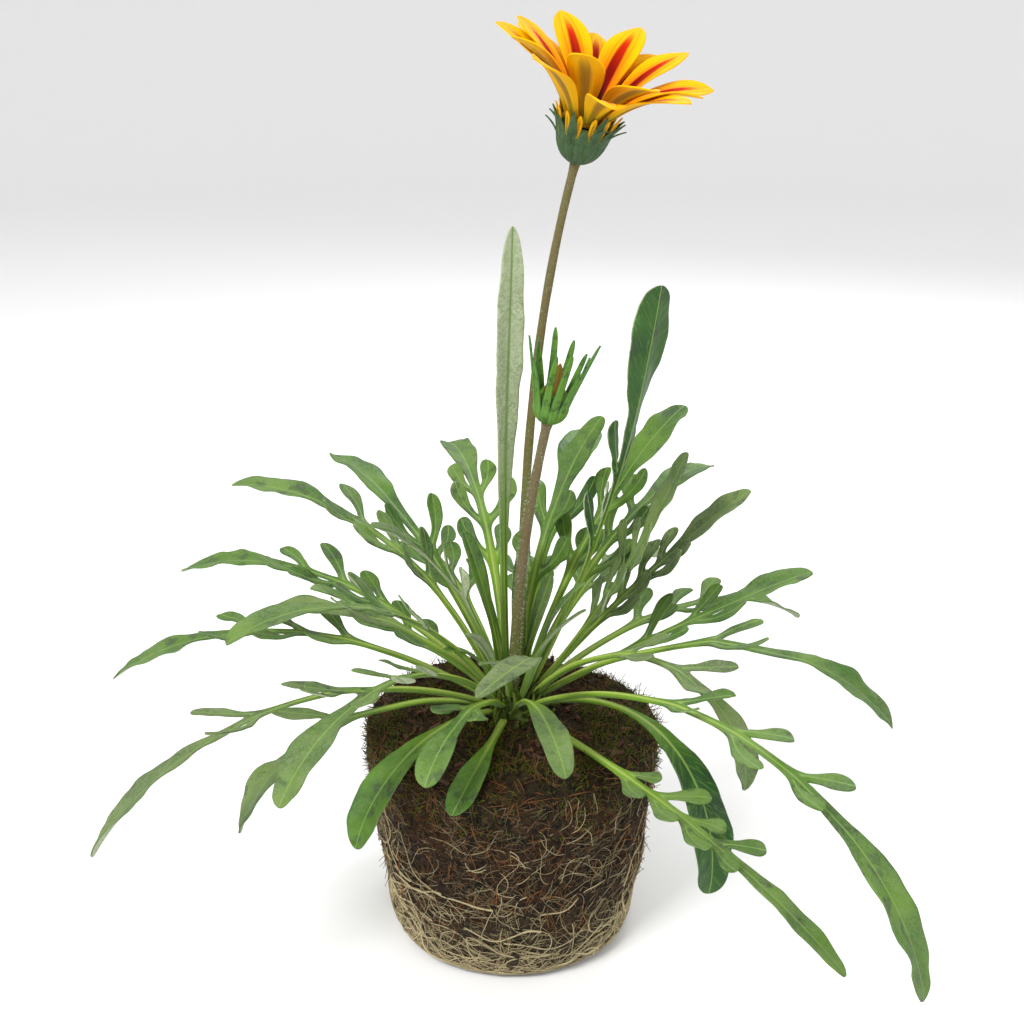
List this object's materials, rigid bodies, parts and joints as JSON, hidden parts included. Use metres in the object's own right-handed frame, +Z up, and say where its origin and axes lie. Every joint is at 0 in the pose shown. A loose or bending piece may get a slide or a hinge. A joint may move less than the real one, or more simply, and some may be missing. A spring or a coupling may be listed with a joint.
{
  "type": "gazania plant",
  "caption": "Flowering gazania lifted from its pot: root ball in the pot's shape, rosette of lobed leaves, one open daisy bloom and one bud on long stalks.",
  "frame": {"origin": "centre of the root ball's flat base, on the surface it stands on", "axes": "+Z up; -Y is the side that faces the viewer in the picture, +X to the viewer's right"},
  "size_m": [0.2869, 0.2716, 0.328],
  "materials": {
    "soil": "dark fibrous peat, rough, full of fine bark crumbs",
    "root": "pale cream matted roots, dull",
    "crown": "short fleshy stem with old brown leaf bases",
    "leaf": "thin leaf, satin deep green above with a pale midrib, whitish felt below",
    "bloom_scape": "slender hairy stalk, dull olive brown",
    "cup": "blue-green cup of fused bracts, matt",
    "ray": "yellow petals with orange base and red-brown stripe, soft satin",
    "disc": "orange disc of tiny florets, matt",
    "bud_scape": "slender hairy stalk, purple brown",
    "bud": "green bud with narrow hairy bracts, matt"
  },
  "bodies": {
    "root": {"bloom_cup": "cup", "bloom_disc": "disc", "bloom_rays": "ray", "bloom_scape": "bloom_scape", "bud_head": "bud", "bud_scape": "bud_scape", "crown": "crown", "leaf_01": "leaf", "leaf_02": "leaf", "leaf_03": "leaf", "leaf_04": "leaf", "leaf_05": "leaf", "leaf_06": "leaf", "leaf_07": "leaf", "leaf_08": "leaf", "leaf_09": "leaf", "leaf_10": "leaf", "leaf_11": "leaf", "leaf_12": "leaf", "leaf_13": "leaf", "leaf_14": "leaf", "leaf_15": "leaf", "leaf_16": "leaf", "leaf_17": "leaf", "leaf_18": "leaf", "leaf_19": "leaf", "leaf_20": "leaf", "leaf_21": "leaf", "leaf_22": "leaf", "leaf_23": "leaf", "leaf_24": "leaf", "leaf_25": "leaf", "leaf_26": "leaf", "leaf_27": "leaf", "leaf_28": "leaf", "leaf_29": "leaf", "leaf_30": "leaf", "leaf_31": "leaf", "leaf_32": "leaf", "leaf_33": "leaf", "leaf_34": "leaf", "leaf_35": "leaf", "root_net": "root", "soil_ball": "soil"}
  },
  "joints": []
}
